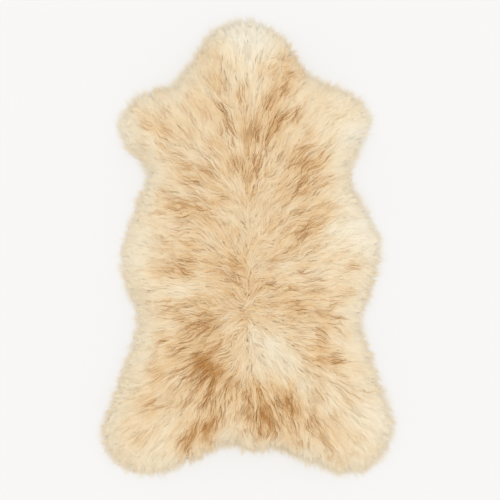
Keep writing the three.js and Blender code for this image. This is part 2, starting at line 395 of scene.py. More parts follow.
def wool_edge():
    """Plan points evenly round the wool's edge, and the way straight out of it at each."""
    knots = (np.array([row[1:] for row in OUTLINE], float) - MIDDLE) * MM
    curve = []
    for i in range(len(knots)):
        before, start, end, after = (knots[(i + k) % len(knots)] for k in (-1, 0, 1, 2))
        gaps = [math.sqrt(np.linalg.norm(b - a)) for a, b in ((before, start), (start, end), (end, after))]
        leave = (start - before) / gaps[0] - (end - before) / (gaps[0] + gaps[1]) + (end - start) / gaps[1]
        arrive = (end - start) / gaps[1] - (after - start) / (gaps[1] + gaps[2]) + (after - end) / gaps[2]
        leave, arrive = leave * gaps[1], arrive * gaps[1]
        for u in np.arange(0, 1, 1 / CURVE_STEPS):
            square = -3 * start + 3 * end - 2 * leave - arrive
            curve.append(start + leave * u + square * u**2 + (2 * start - 2 * end + leave + arrive) * u**3)
    closed = np.vstack([curve, curve[:1]])
    along = np.concatenate([[0], np.cumsum(np.linalg.norm(np.diff(closed, axis=0), axis=1))])
    at = np.arange(EDGE_POINTS) * along[-1] / EDGE_POINTS
    points = np.stack([np.interp(at, along, closed[:, k]) for k in (0, 1)], 1)
    onward = np.roll(points, -EDGE_EVENED, axis=0) - np.roll(points, EDGE_EVENED, axis=0)
    return points, unit(np.stack([onward[:, 1], -onward[:, 0]], 1))


EDGE, EDGE_OUT = wool_edge()


def rim_distance(points):
    """How far inside the wool's edge each point lies, and the way straight out of it there."""
    nearest = np.empty(len(points), int)
    for start in range(0, len(points), BLOCK):
        block = points[start : start + BLOCK, None, :] - EDGE[None]
        nearest[start : start + BLOCK] = (block**2).sum(2).argmin(1)
    out = EDGE_OUT[nearest]
    return ((EDGE[nearest] - points) * out).sum(1), out


def comb_ways(points, inside, out):
    """The way the wool is combed at each point: from the back to the sides and ends, and over the rim."""
    x, y = points.T
    slopes = []
    for _, turn, (ahead, ahead_length), (behind, behind_length) in COMBED:
        past = y / MM + MIDDLE[1] - turn
        front = ahead * np.tanh(past / ahead_length)
        rear = behind * np.tanh(past / behind_length)
        slopes.append(np.radians(np.where(past > 0, front, rear)))
    share = np.clip((np.abs(x) - SIDE_FROM) / (SIDE_TO - SIDE_FROM), 0, 1)
    slope = slopes[0] * (1 - share) + slopes[1] * share
    flow = unit(np.stack([np.cos(slope) * x / np.hypot(x, SPINE_HALF), np.sin(slope)], 1))
    at_rim = 1 - smoothstep(inside, 0, RIM_TURN)
    ways = unit(flow + RIM_PULL * at_rim[:, None] * out)
    angle = COMB_UNEVEN * soft_noise(points, 65 * MM, 11)
    for _, at_x, at_y, radius, degrees in COWLICKS:
        off = points - (np.array([at_x, at_y]) - MIDDLE) * MM
        angle += math.radians(degrees) * np.exp(-(off**2).sum(1) / (radius * MM) ** 2)
    return turned(ways, angle)


def plain_tone(points, inside, ways):
    """How dark the coat is at each point before its streaks, 0 for cream to 1 for brown."""
    tone = np.full(len(points), PLAIN_TONE)
    for drift, size, seed in CLOUDS:
        tone += drift * soft_noise(points, size, seed)
    tone -= RIM_PALER * (1 - smoothstep(inside, 0, RIM_PALE))
    sides = np.stack([ways[:, 1], -ways[:, 0]], 1)
    for _, x, y, radius, darker in PATCHES:
        off = points - (np.array([x, y]) - MIDDLE) * MM
        lengthwise = PATCH_LENGTHWISE * (off * ways).sum(1)
        across = PATCH_ACROSS * (off * sides).sum(1)
        squared = lengthwise**2 + across**2
        tone += darker * np.exp(-squared / (radius * MM) ** 2)
    return tone


def sample(chart, points):
    """A chart's values at plan points, evened out between its grid points."""
    column = np.clip((points[:, 0] - CHART_X[0]) / CHART_STEP, 0, len(CHART_X) - 1.001)
    row = np.clip((points[:, 1] - CHART_Y[0]) / CHART_STEP, 0, len(CHART_Y) - 1.001)
    left, low = column.astype(int), row.astype(int)
    across, up = column - left, row - low
    if chart.ndim == 3:
        across, up = across[:, None], up[:, None]
    lower = chart[low, left] * (1 - across) + chart[low, left + 1] * across
    upper = chart[low + 1, left] * (1 - across) + chart[low + 1, left + 1] * across
    return lower * (1 - up) + upper * up


def evened(chart, rounds):
    """A chart blurred a little, that many times."""
    for _ in range(rounds):
        chart = (np.roll(chart, 1, 0) + 2 * chart + np.roll(chart, -1, 0)) / 4
        chart = (np.roll(chart, 1, 1) + 2 * chart + np.roll(chart, -1, 1)) / 4
    return chart


def streaks(ways, grain, length, seed):
    """A chart of streaks that run the way the wool is combed, evenly spread about 0."""
    noise = evened(np.random.default_rng(seed).normal(0, 1, ways.shape[:2]), grain)
    start = np.stack(np.meshgrid(CHART_X, CHART_Y), 2).reshape(-1, 2)
    total = sample(noise, start)
    steps = round(length / (2 * CHART_STEP))
    for sign in (-1, 1):
        points = start
        for _ in range(steps):
            points = points + sign * CHART_STEP * unit(sample(ways, points))
            total = total + sample(noise, points)
    total -= total.mean()
    return (total / total.std()).reshape(noise.shape)


@functools.cache
def coat_charts():
    """Charts of how far inside the wool's edge each point is, how dark the coat and how high it lies."""
    grid = np.stack(np.meshgrid(CHART_X, CHART_Y), 2)
    points = grid.reshape(-1, 2)
    inside, out = rim_distance(points)
    ways = comb_ways(points, inside, out)
    tone = plain_tone(points, inside, ways).reshape(grid.shape[:2])
    ways = ways.reshape(grid.shape)
    marked = smoothstep(tone, MARKED_FROM, MARKED_TO)
    fine = streaks(ways, 2, 70 * MM, 41)
    broad = streaks(ways, 9, 90 * MM, 42)
    tone = tone + (FINE_STREAK + FINE_STREAK_MARKED * marked) * fine + BROAD_STREAK * marked * broad
    rim = inside.reshape(tone.shape)
    return rim, tone, lying_height(rim)


def standing(points):
    """How far the wool stands up at each point: 1 along the middle of the back, 0 where it lies flat."""
    along = np.maximum(np.abs(points[:, 1] - BACK_CENTRE_Y) - BACK_HALF_LENGTH, 0) / 1.3
    return 1 - smoothstep(np.hypot(points[:, 0], along), BACK_NEAR, BACK_FAR)


def lying_height(rim):
    """A chart of the height at which hair lies: that of the solid fleece, eased down at its rim."""
    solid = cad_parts["fleece"].data
    tree = BVHTree.FromPolygons([v.co for v in solid.vertices], [p.vertices for p in solid.polygons])
    height = np.zeros(rim.shape)
    for row, y in enumerate(CHART_Y):
        for column, x in enumerate(CHART_X):
            hit = tree.ray_cast(Vector((x, y, 1.0)), Vector((0, 0, -1)))[0]
            height[row, column] = hit.z if hit else 0.0
    return evened(height, HEIGHT_EVENED) * smoothstep(rim, -EASED_OUT, EASED_IN)


def lying_surface(tone, height):
    """A plain grid at the height at which hair lies, with its slopes and how dark the coat is there."""
    slope_y, slope_x = np.gradient(height * LEAN, CHART_STEP)
    grid_x, grid_y = np.meshgrid(CHART_X, CHART_Y)
    corners = np.stack([grid_x, grid_y, height], 2).reshape(-1, 3)
    wide = len(CHART_X)
    first = (np.arange(len(CHART_Y) - 1)[:, None] * wide + np.arange(wide - 1)).ravel()
    faces = np.stack([first, first + 1, first + wide + 1, first + wide], 1)
    mesh = bpy.data.meshes.new("Lying surface")
    mesh.from_pydata(corners.tolist(), [], faces.tolist())
    chart = np.stack([-slope_x, -slope_y, tone], 2).astype(np.float32)
    mesh.attributes.new("chart", "FLOAT_VECTOR", "POINT").data.foreach_set("vector", chart.ravel())
    return new_object("lying_surface", mesh)


def tree_inputs(tree):
    """Gives the hair's tree its output and its inputs, and returns what comes in by them."""
    for name, kind, default in (
        ("Geometry", "NodeSocketGeometry", None),
        ("Lying surface", "NodeSocketObject", None),
        ("Steps", "NodeSocketInt", 20),
        ("Root depth", "NodeSocketFloat", ROOT_DEPTH),
        ("Cell width", "NodeSocketFloat", 0.01),
        ("Cell height", "NodeSocketFloat", 0.01),
        ("Material", "NodeSocketMaterial", None),
    ):
        socket = tree.interface.new_socket(name, in_out="INPUT", socket_type=kind)
        if default is not None:
            socket.default_value = default
    tree.interface.new_socket("Geometry", in_out="OUTPUT", socket_type="NodeSocketGeometry")
    return tree.nodes.new("NodeGroupInput").outputs


def blank_ribbons(put, given):
    """A flat ribbon one unit long on each point, with how far along and across it each corner is."""
    rows = put("ShaderNodeMath", {0: given["Steps"], 1: 1.0}, operation="ADD")
    blank = put("GeometryNodeMeshGrid", {"Size X": 1.0, "Size Y": 1.0, "Vertices X": 2, "Vertices Y": rows})
    place = put("ShaderNodeSeparateXYZ", {0: put("GeometryNodeInputPosition")}).node.outputs
    for name, axis in (("along", "Y"), ("across", "X")):
        value = put("ShaderNodeMath", {0: place[axis], 1: 0.5}, operation="ADD")
        blank = put("GeometryNodeStoreNamedAttribute", {"Geometry": blank, "Name": name, "Value": value})
    hairs = put("GeometryNodeInstanceOnPoints", {"Points": given["Geometry"], "Instance": blank})
    return put("GeometryNodeRealizeInstances", {"Geometry": hairs})


def hair_values(put):
    """What each hair's row of its table says, the place on its ribbon, and the surface's chart."""
    numbers = ("along", "across", "reach", "turns", "phase", "swing", "bend", "beside", "gather", "rise",
               "roll", "twist", "width", "half_lock", "tone", "strand")
    vectors = ("root", "way", "cell", "chart")
    return {
        name: put("GeometryNodeInputNamedAttribute", {"Name": name}, data_type=kind)
        for names, kind in ((numbers, "FLOAT"), (vectors, "FLOAT_VECTOR"))
        for name in names
    }


def surface_under(put, given, chart, plan):
    """How high the lying surface is under a place seen from above, and what its chart says there."""
    lying = {"Object": given["Lying surface"]}
    fall = {
        "Target Geometry": put("GeometryNodeObjectInfo", lying, "Geometry", transform_space="RELATIVE"),
        "Attribute": chart,
        "Source Position": put("ShaderNodeVectorMath", {0: plan, 1: (0, 0, 0.2)}, operation="ADD"),
        "Ray Direction": (0, 0, -1),
        "Ray Length": 1.0,
    }
    hit = put("GeometryNodeRaycast", fall, data_type="FLOAT_VECTOR").node.outputs
    charted = next(output for output in hit if output.name == "Attribute" and output.enabled)
    height = put("ShaderNodeSeparateXYZ", {0: hit["Hit Position"]}, "Z")
    return height, put("ShaderNodeSeparateXYZ", {0: charted}).node.outputs


def bake_place(put, given, of):
    """Each corner's place in its hair's own cell of the map that colours are baked to."""
    across = put("ShaderNodeMath", {0: of["across"], 1: given["Cell width"]}, operation="MULTIPLY")
    along = put("ShaderNodeMath", {0: of["along"], 1: given["Cell height"]}, operation="MULTIPLY")
    in_cell = put("ShaderNodeCombineXYZ", {"X": across, "Y": along})
    return put("ShaderNodeVectorMath", {0: of["cell"], 1: in_cell}, operation="ADD")


def hair_tree():
    """Geometry nodes that grow one ribbon from each point, wave it and lay it on a surface."""
    tree = bpy.data.node_groups.new("Wool hair", "GeometryNodeTree")
    given = tree_inputs(tree)
    put = functools.partial(add_node, tree)
    hairs = blank_ribbons(put, given)
    of = hair_values(put)
    along = of["along"]
    smooth = {"interpolation_type": "SMOOTHSTEP"}

    # The middle line seen from above: out along the comb, drawing in to its lock, with waves and a bend
    angle = put("ShaderNodeMath", {0: along, 1: of["turns"], 2: of["phase"]}, operation="MULTIPLY_ADD")
    grown = put("ShaderNodeMapRange", {"Value": along, "From Max": 0.35}, **smooth)
    swing = put("ShaderNodeMath", {0: of["swing"], 1: grown}, operation="MULTIPLY")
    wave = put("ShaderNodeMath", {0: angle}, operation="SINE")
    wave = put("ShaderNodeMath", {0: wave, 1: swing}, operation="MULTIPLY")
    loose = put("ShaderNodeMapRange", {"Value": along, "To Min": 1.0, "To Max": of["gather"]})
    spread = put("ShaderNodeMath", {0: of["beside"], 1: loose}, operation="MULTIPLY")
    squared = put("ShaderNodeMath", {0: along, 1: along}, operation="MULTIPLY")
    sideways = put("ShaderNodeMath", {0: of["bend"], 1: squared, 2: spread}, operation="MULTIPLY_ADD")
    outwards = put("ShaderNodeMath", {0: of["reach"], 1: along}, operation="MULTIPLY")
    side = put("ShaderNodeVectorMath", {0: of["way"], 1: (0, 0, 1)}, operation="CROSS_PRODUCT")
    plan = of["root"]
    for vector, scale in ((of["way"], outwards), (side, sideways)):
        step = put("ShaderNodeVectorMath", {0: vector, "Scale": scale}, operation="SCALE")
        plan = put("ShaderNodeVectorMath", {0: plan, 1: step}, operation="ADD")

    # Its height: out of the underwool, then over what it lies on, closer to it where that is low
    bed, charted = surface_under(put, given, of["chart"], plan)
    close = put("ShaderNodeMapRange", {"Value": bed, "From Max": 30 * MM, "To Min": 0.5})
    deep = put("ShaderNodeMath", {0: given["Root depth"], 1: -1.0}, operation="MULTIPLY")
    ends = {"From Max": 0.3, "To Min": deep, "To Max": of["rise"]}
    lift = put("ShaderNodeMapRange", {"Value": along, **ends}, **smooth)
    ends = {"From Min": 0.4, "To Min": 1.0, "To Max": 0.15}
    sunk = put("ShaderNodeMapRange", {"Value": along, **ends}, **smooth)
    lift = put("ShaderNodeMath", {0: lift, 1: sunk}, operation="MULTIPLY")
    ripple = put("ShaderNodeMath", {0: angle}, operation="COSINE")
    ripple = put("ShaderNodeMath", {0: ripple, 1: swing}, operation="MULTIPLY")
    lift = put("ShaderNodeMath", {0: ripple, 1: 0.15, 2: lift}, operation="MULTIPLY_ADD")
    height = put("ShaderNodeMath", {0: lift, 1: close, 2: bed}, operation="MULTIPLY_ADD")

    # Its width, laid to the side down the slope there and turned over as it goes
    ends = {"From Min": 0.45, "To Min": 1.0, "To Max": 0.12}
    thin = put("ShaderNodeMapRange", {"Value": along, **ends}, **smooth)
    width = put("ShaderNodeMath", {0: of["width"], 1: thin}, operation="MULTIPLY")
    off = put("ShaderNodeMath", {0: of["across"], 1: 0.5}, operation="SUBTRACT")
    off = put("ShaderNodeMath", {0: off, 1: width}, operation="MULTIPLY")
    roll = put("ShaderNodeMath", {0: along, 1: of["twist"], 2: of["roll"]}, operation="MULTIPLY_ADD")
    traces = (put("ShaderNodeMath", {0: roll}, operation=trace) for trace in ("COSINE", "SINE"))
    flat, steep = (put("ShaderNodeMath", {0: off, 1: trace}, operation="MULTIPLY") for trace in traces)
    flat_wave = put("ShaderNodeMath", {0: flat, 1: wave}, operation="ADD")
    beside = put("ShaderNodeVectorMath", {0: side, "Scale": flat_wave}, operation="SCALE")
    plan = put("ShaderNodeVectorMath", {0: plan, 1: beside}, operation="ADD")
    height = put("ShaderNodeMath", {0: height, 1: steep}, operation="ADD")
    up = put("ShaderNodeCombineXYZ", {"X": charted["X"], "Y": charted["Y"], "Z": 1.0})
    slope = put("ShaderNodeVectorMath", {0: side, 1: up}, "Value", operation="DOT_PRODUCT")
    fall = put("ShaderNodeMath", {0: slope, 1: flat_wave}, operation="MULTIPLY")
    height = put("ShaderNodeMath", {0: fall, 1: -1 / LEAN, 2: height}, operation="MULTIPLY_ADD")
    layer = {0: of["strand"], 1: FLOOR_LAYER, 2: FLOOR_CLEAR}
    lowest = put("ShaderNodeMath", layer, operation="MULTIPLY_ADD")
    height = put("ShaderNodeMath", {0: height, 1: lowest}, operation="MAXIMUM")
    lifted = put("ShaderNodeCombineXYZ", {"Z": height})
    point = put("ShaderNodeVectorMath", {0: plan, 1: lifted}, operation="ADD")
    hairs = put("GeometryNodeSetPosition", {"Geometry": hairs, "Position": point})

    # A lock is round, so its hairs shade by where they are across it
    lean = put("ShaderNodeMath", {0: spread, 1: flat}, operation="ADD")
    lean = put("ShaderNodeMath", {0: lean, 1: of["half_lock"]}, operation="DIVIDE")
    lean = put("ShaderNodeMath", {0: lean, 1: LOCK_ROUND}, operation="MULTIPLY")
    rounded = put("ShaderNodeVectorMath", {0: side, "Scale": lean}, operation="SCALE")
    rounded = put("ShaderNodeVectorMath", {0: rounded, 1: up}, operation="ADD")
    rounded = put("ShaderNodeVectorMath", {0: rounded}, operation="NORMALIZE")
    hairs = put("GeometryNodeSetMeshNormal", {"Mesh": hairs, "Custom Normal": rounded}, mode="FREE")

    # Its tone: hairs of one place differ more where the coat is dark
    ends = {"From Min": 0.2, "From Max": 0.95, "To Min": 0.5, "To Max": 1.8}
    bolder = put("ShaderNodeMapRange", {"Value": charted["Z"], **ends})
    tone = put("ShaderNodeMath", {0: of["tone"], 1: bolder, 2: charted["Z"]}, operation="MULTIPLY_ADD")
    hairs = put("GeometryNodeStoreNamedAttribute", {"Geometry": hairs, "Name": "tone", "Value": tone})

    on_map = bake_place(put, given, of)
    hairs = put(
        "GeometryNodeStoreNamedAttribute",
        {"Geometry": hairs, "Name": "OFBake", "Value": on_map},
        data_type="FLOAT2",
        domain="CORNER",
    )
    hairs = put("GeometryNodeSetShadeSmooth", {"Geometry": hairs})
    hairs = put("GeometryNodeSetMaterial", {"Geometry": hairs, "Material": given["Material"]})
    tree.links.new(hairs, tree.nodes.new("NodeGroupOutput").inputs[0])
    return tree


def grow_hair(name, hairs, steps, surface, tree, material):
    """One piece of the coat: a mesh of ribbons, grown from a table of hairs."""
    count = len(hairs["reach"])
    columns = max(1, round(math.sqrt(count * CELL_LONG)))
    rows = math.ceil(count / columns)
    index = np.arange(count)
    left, low = (1 - CELL_ACROSS) / 2, (1 - CELL_ALONG) / 2
    cell = np.stack([(index % columns + left) / columns, (index // columns + low) / rows], 1)
    mesh = bpy.data.meshes.new(name)
    mesh.from_pydata([(0.0, 0.0, 0.0)] * count, [], [])
    for label, values in {**hairs, "cell": cell}.items():
        if values.ndim == 1:
            mesh.attributes.new(label, "FLOAT", "POINT").data.foreach_set("value", values)
            continue
        flat = np.zeros((count, 3))
        flat[:, : values.shape[1]] = values
        mesh.attributes.new(label, "FLOAT_VECTOR", "POINT").data.foreach_set("vector", flat.ravel())
    seedling = new_object("seedling_" + name, mesh)
    modifier = seedling.modifiers.new("Wool hair", "NODES")
    modifier.node_group = tree
    given = {
        "Lying surface": surface,
        "Steps": steps,
        "Cell width": CELL_ACROSS / columns,
        "Cell height": CELL_ALONG / rows,
        "Material": material,
    }
    for item in tree.interface.items_tree:
        if item.in_out == "INPUT" and item.name in given:
            modifier[item.identifier] = given[item.name]
    depsgraph = bpy.context.evaluated_depsgraph_get()
    grown = bpy.data.meshes.new_from_object(seedling.evaluated_get(depsgraph), depsgraph=depsgraph)
    grown.name = name
    bpy.data.objects.remove(seedling)
    for label in [a.name for a in grown.attributes]:
        if label in hairs and label not in ("tone", "strand") or label == "cell":
            grown.attributes.remove(grown.attributes[label])
    piece = new_object(name, grown)
    if not len(grown.polygons):
        raise RuntimeError(f"{name} has no hair")
    return piece


def root_grid(spacing, margin, rng):
    """Jittered root points at least margin inside the wool's edge, how far inside, and the comb there."""
    columns = np.arange(-ROOTS_HALF_X, ROOTS_HALF_X, spacing)
    rows = np.arange(-ROOTS_HALF_Y, ROOTS_HALF_Y, spacing * ROW_SHARE)
    grid_x, grid_y = np.meshgrid(columns, rows)
    grid_x[1::2] += spacing / 2
    roots = np.stack([grid_x.ravel(), grid_y.ravel()], 1)
    roots += rng.uniform(-ROOT_JITTER, ROOT_JITTER, roots.shape) * spacing
    inside, out = rim_distance(roots)
    keep = inside > margin
    return roots[keep], inside[keep], comb_ways(roots, inside, out)[keep]


def room_to_lie(rim, roots, ways, beyond):
    """How far out each hair can lie before its tip is that far past the wool's edge."""
    room = np.full(len(roots), SHORTEST)
    free = np.ones(len(roots), bool)
    for far in np.arange(SHORTEST, LONGEST, CHART_STEP):
        free &= sample(rim, roots + ways * far) > -beyond
        room[free] = far
    return room


def draws(rng, count):
    """Two ways to draw that many numbers: evenly between two, and bell-shaped round one."""
    return functools.partial(rng.uniform, size=count), functools.partial(rng.normal, size=count)


def hair_table(coat, rng, pitch, **hairs):
    """A table with a row for each hair, in which what all kinds have alike is filled in."""
    count = len(hairs["reach"])
    hairs["turns"] = 2 * math.pi * hairs["reach"] / pitch
    hairs["twist"] = hairs["twist"] * HAIR_TWIST
    hairs["width"] = hairs["width"] * coat.hair_width
    hairs["strand"] = rng.uniform(0, 1, count)
    return {name: values if np.ndim(values) else np.full(count, values) for name, values in hairs.items()}


def lock_rows(coat, rng):
    """The locks of the outer coat: where each grows, which way and how far, and how it waves."""
    root, _, way = root_grid(coat.lock_spacing, 17 * MM, rng)
    even, bell = draws(rng, len(root))
    upright = standing(root)
    way = turned(way, bell(0, 0.1) + bell(0, 0.25) * upright)
    full = coat.hair_length * even(0.75, 1.2)
    full = full * (1 - upright) + REACH_SHORT * even(0.8, 1.5) * upright
    wavy = 0.55 + 0.45 * soft_noise(root, 80 * MM, coat.seed + 3)
    return {
        "root": root,
        "way": way,
        "full": full,
        "upright": upright,
        "short": 8 * MM * even(0, 1) ** 1.5,
        "swing": coat.wave_height * np.clip(wavy, 0.3, 1.1) * even(0.7, 1.2),
        "pitch": coat.wave_length * even(0.9, 1.15),
        "drift": 2.2 * math.pi * soft_noise(root, 60 * MM, coat.seed + 5) + bell(0, 0.25),
        "rise": (even(1.5, 2.1) + 0.3 * soft_noise(root, 30 * MM, coat.seed + 6)) * MM,
        "bend": bell(0, 0.07) * full,
        "tone": bell(0, 0.018),
    }


def outer_hairs(coat, rim):
    """The table of the long hairs: locks of several side by side, which draw in towards their tips."""
    rng = np.random.default_rng(coat.seed)
    rows = lock_rows(coat, rng)
    lock = np.repeat(np.arange(len(rows["root"])), coat.lock_hairs)
    even, bell = draws(rng, len(lock))
    row = {name: values[lock] for name, values in rows.items()}
    way = turned(row["way"], bell(0, 0.04))
    place = even(-1, 1)
    shift = coat.lock_spacing * even(-0.7, 0.7) - CROSSING * row["upright"] * even(0, 1)
    root = row["root"] + way * shift[:, None]
    beyond = coat.overshoot - row["short"] - 32 * MM * even(0, 1) ** 1.3
    started = (row["root"] * row["way"]).sum(1) + shift
    return hair_table(
        coat,
        rng,
        root=root,
        way=way,
        pitch=row["pitch"],
        reach=np.minimum(row["full"] * even(0.72, 1.08), room_to_lie(rim, root, way, beyond)),
        beside=coat.lock_half_width * place,
        gather=even(0.7, 1.4),
        phase=2 * math.pi * started / row["pitch"] + row["drift"] + bell(0, 0.2),
        swing=row["swing"] * even(0.85, 1.15),
        bend=row["bend"] + bell(0, 2 * MM),
        rise=row["rise"] + 0.6 * MM * (1 - place**2) + even(0, 0.3) * MM,
        roll=even(-0.15, 0.15),
        twist=even(-0.08, 0.08),
        width=even(0.6, 1.6),
        half_lock=coat.lock_half_width,
        tone=row["tone"] + bell(0, 0.022),
    )


def down_hairs(coat, rim):
    """The table of the short hairs of the inner coat, which fill between the locks and cover the back."""
    rng = np.random.default_rng(coat.seed + 1)
    roots, _, ways = root_grid(coat.tuft_spacing, 18 * MM, rng)
    upright = standing(roots)
    ways = turned(ways, rng.normal(0, 0.2 + 0.3 * upright))
    tuft = np.repeat(np.arange(len(roots)), np.where(upright > 0.3, 2, 1) * coat.tuft_hairs)
    tuft_even, tuft_bell = draws(rng, len(roots))
    even, bell = draws(rng, len(tuft))
    half_tuft = 0.5 * coat.tuft_spacing
    way = turned(ways[tuft], bell(0, 0.12))
    place = even(-1, 1)
    shift = coat.tuft_spacing * even(-0.6, 0.6) - CROSSING * upright[tuft] * even(0, 1)
    root = roots[tuft] + way * shift[:, None]
    reach = np.minimum(even(30, 52) * MM, room_to_lie(rim, root, way, even(-16, 2) * MM))
    lift = tuft_even(0.6, 1.3) * MM + upright * tuft_even(0, 0.6) * MM
    return hair_table(
        coat,
        rng,
        root=root,
        way=way,
        reach=reach,
        beside=half_tuft * place,
        gather=even(0.2, 0.8),
        pitch=coat.wave_length * even(0.8, 1.2),
        phase=tuft_even(0, 2 * math.pi)[tuft] + bell(0, 0.3),
        swing=coat.wave_height * even(0.2, 0.9),
        bend=bell(0, 4 * MM),
        rise=lift[tuft] + 0.5 * MM * (1 - place**2),
        roll=even(-0.15, 0.15),
        twist=even(-0.08, 0.08),
        width=1.8 * even(0.7, 1.4),
        half_lock=half_tuft,
        # The inner coat is darker than the locks: partly its own colour, partly painted warm shade for the
        # gaps between them
        tone=0.08 + tuft_bell(0, 0.03)[tuft] + bell(0, 0.03),
    )


def guard_hairs(coat, rim, tone):
    """The table of the thin, darker and wavier hairs that lie on top, a few side by side."""
    rng = np.random.default_rng(coat.seed + 2)
    roots, _, ways = root_grid(coat.guard_spacing, 30 * MM, rng)
    wanted = (0.15 + 0.85 * smoothstep(sample(tone, roots), 0.4, 0.8)) * (1 - 0.7 * standing(roots))
    keep = rng.uniform(0, 1, len(roots)) < wanted
    roots, ways = roots[keep], ways[keep]
    even, bell = draws(rng, len(roots))
    ways = turned(ways, bell(0, 0.17))
    full = even(60, 115) * MM
    pitch = coat.wave_length * even(0.85, 1.3)
    swing = coat.wave_height * even(0.4, 1.2)
    start = even(0, 2 * math.pi)
    bend = bell(0, 8 * MM)
    darker = 0.1 + 0.25 * even(0, 1) ** 2
    darker *= 0.8 + 1.2 * smoothstep(sample(tone, roots), 0.6, 0.95)

    wisp = np.repeat(np.arange(len(roots)), coat.guard_hairs)
    even, bell = draws(rng, len(wisp))
    way = turned(ways[wisp], bell(0, 0.06))
    shift = even(-12, 12) * MM
    root = roots[wisp] + way * shift[:, None]
    room = room_to_lie(rim, root, way, even(-22, 4) * MM)
    return hair_table(
        coat,
        rng,
        root=root,
        way=way,
        pitch=pitch[wisp],
        reach=np.minimum(full[wisp] * even(0.6, 1.0), room),
        beside=even(-13, 13) * MM,
        gather=even(0.3, 0.9),
        phase=start[wisp] + 2 * math.pi * shift / pitch[wisp] + bell(0, 0.2),
        swing=swing[wisp] * even(0.85, 1.15),
        bend=bend[wisp] + bell(0, 2 * MM),
        rise=even(3.6, 4.4) * MM,
        roll=even(-0.4, 0.4),
        twist=even(-0.2, 0.2),
        width=even(0.35, 0.7),
        half_lock=13 * MM,
        tone=darker[wisp] + even(-0.05, 0.15),
    )


def fringe_hairs(coat, rim):
    """The table of the single fine hairs that lie out over the wool's edge and thin out past it."""
    rng = np.random.default_rng(coat.seed + 4)
    root, inside, way = root_grid(coat.fringe_spacing, 2 * MM, rng)
    near = inside < 40 * MM
    even, bell = draws(rng, near.sum())
    root, way = root[near], turned(way[near], bell(0, 0.2))
    beyond = coat.fringe_reach * even(-0.7, 1)
    return hair_table(
        coat,
        rng,
        root=root,
        way=way,
        beside=0.0,
        gather=1.0,
        reach=np.minimum(room_to_lie(rim, root, way, beyond), even(40, 80) * MM),
        pitch=coat.wave_length * even(0.8, 1.3),
        phase=even(0, 2 * math.pi),
        swing=coat.wave_height * even(0.2, 0.9),
        bend=bell(0, 5 * MM),
        rise=even(2.2, 4) * MM,
        roll=even(-0.15, 0.15),
        twist=even(-0.1, 0.1),
        width=even(0.4, 0.75),
        half_lock=coat.lock_half_width,
        tone=bell(-0.09, 0.07),
    )


def coat_colour(tree, coat, tone):
    """The coat's colour for a tone from 0, cream, to 1, brown."""
    ramp = add_node(tree, "ShaderNodeValToRGB", {"Fac": tone}, "Color")
    stops = ramp.node.color_ramp.elements
    stops[0].color = coat.cream
    stops[1].color = coat.brown
    stops.new(0.4).color = coat.straw
    stops.new(0.72).color = coat.tan
    return ramp


def new_material(name, finish):
    """A material with its finish set, its node tree and its shader."""
    material = bpy.data.materials.new(name)
    material.use_nodes = True
    shader = material.node_tree.nodes["Principled BSDF"]
    for label, value in finish.items():
        shader.inputs[label].default_value = value
    return material, material.node_tree, shader


def wool_material(coat):
    """Sheep's wool, washed and brushed: a dull cream hair that is darker and warmer towards the skin."""
    material, tree, shader = new_material(
        "Wool hair, washed and brushed",
        {
            "Roughness": 0.6,
            "IOR": 1.55,
            "Specular IOR Level": 0.25,
            "Sheen Weight": 0.12,
            "Sheen Roughness": 0.4,
        },
    )
    tone, along, across, strand = (
        add_node(tree, "ShaderNodeAttribute", output="Fac", attribute_name=name)
        for name in ("tone", "along", "across", "strand")
    )
    # A drawn strand is a few real hairs side by side, so fine streaks run along it
    lane, far, own = (
        add_node(tree, "ShaderNodeMath", {0: place, 1: pace}, operation="MULTIPLY")
        for place, pace in ((across, 9.0), (along, 2.5), (strand, 97.0))
    )
    where = add_node(tree, "ShaderNodeCombineXYZ", {"X": lane, "Y": far, "Z": own})
    streak = add_node(tree, "ShaderNodeTexNoise", {"Vector": where, "Scale": 1.0, "Detail": 2.0}, "Fac")
    ends = {"From Min": 0.3, "From Max": 0.7, "To Min": -0.14, "To Max": 0.14}
    streaky = add_node(tree, "ShaderNodeMapRange", {"Value": streak, **ends})
    ends = {"From Max": 0.7, "To Min": 0.14, "To Max": -0.04}
    rooted = add_node(tree, "ShaderNodeMapRange", {"Value": along, **ends})
    dark = add_node(tree, "ShaderNodeMath", {0: tone, 1: rooted}, operation="ADD")
    dark = add_node(tree, "ShaderNodeMath", {0: dark, 1: streaky}, operation="ADD", use_clamp=True)
    tree.links.new(coat_colour(tree, coat, dark), shader.inputs["Base Color"])
    return material


def underwool_material(coat):
    """Underwool, matted by wear: the dense warm ground that shows in the partings between the locks, darker
    than the hair over it, partly its own colour and partly painted shade.
    """
    finish = {"Roughness": 0.95, "Specular IOR Level": 0.1}
    material, tree, shader = new_material("Underwool, felted", finish)
    place = add_node(tree, "ShaderNodeTexCoord", output="Object")
    tufts, fibres = (
        add_node(tree, "ShaderNodeTexNoise", {"Vector": place, "Scale": 1 / size, "Detail": detail}, "Fac")
        for size, detail in ((9 * MM, 4.0), (2.5 * MM, 3.0))
    )
    # Mottled, and darker than the hair throughout: partly the deeper wool's own colour, partly painted warm
    # shade for the gaps between the locks
    ends = {"From Min": 0.3, "From Max": 0.7, "To Min": 0.04, "To Max": 0.12}
    mottle_and_painted_shade = add_node(tree, "ShaderNodeMapRange", {"Value": tufts, **ends})
    tone = add_node(tree, "ShaderNodeAttribute", output="Fac", attribute_name="tone")
    dark = add_node(tree, "ShaderNodeMath", {0: tone, 1: mottle_and_painted_shade}, operation="ADD", use_clamp=True)
    tree.links.new(coat_colour(tree, coat, dark), shader.inputs["Base Color"])
    bump = add_node(tree, "ShaderNodeBump", {"Strength": 0.7, "Distance": 1.5 * MM, "Height": fibres})
    tree.links.new(bump, shader.inputs["Normal"])
    return material


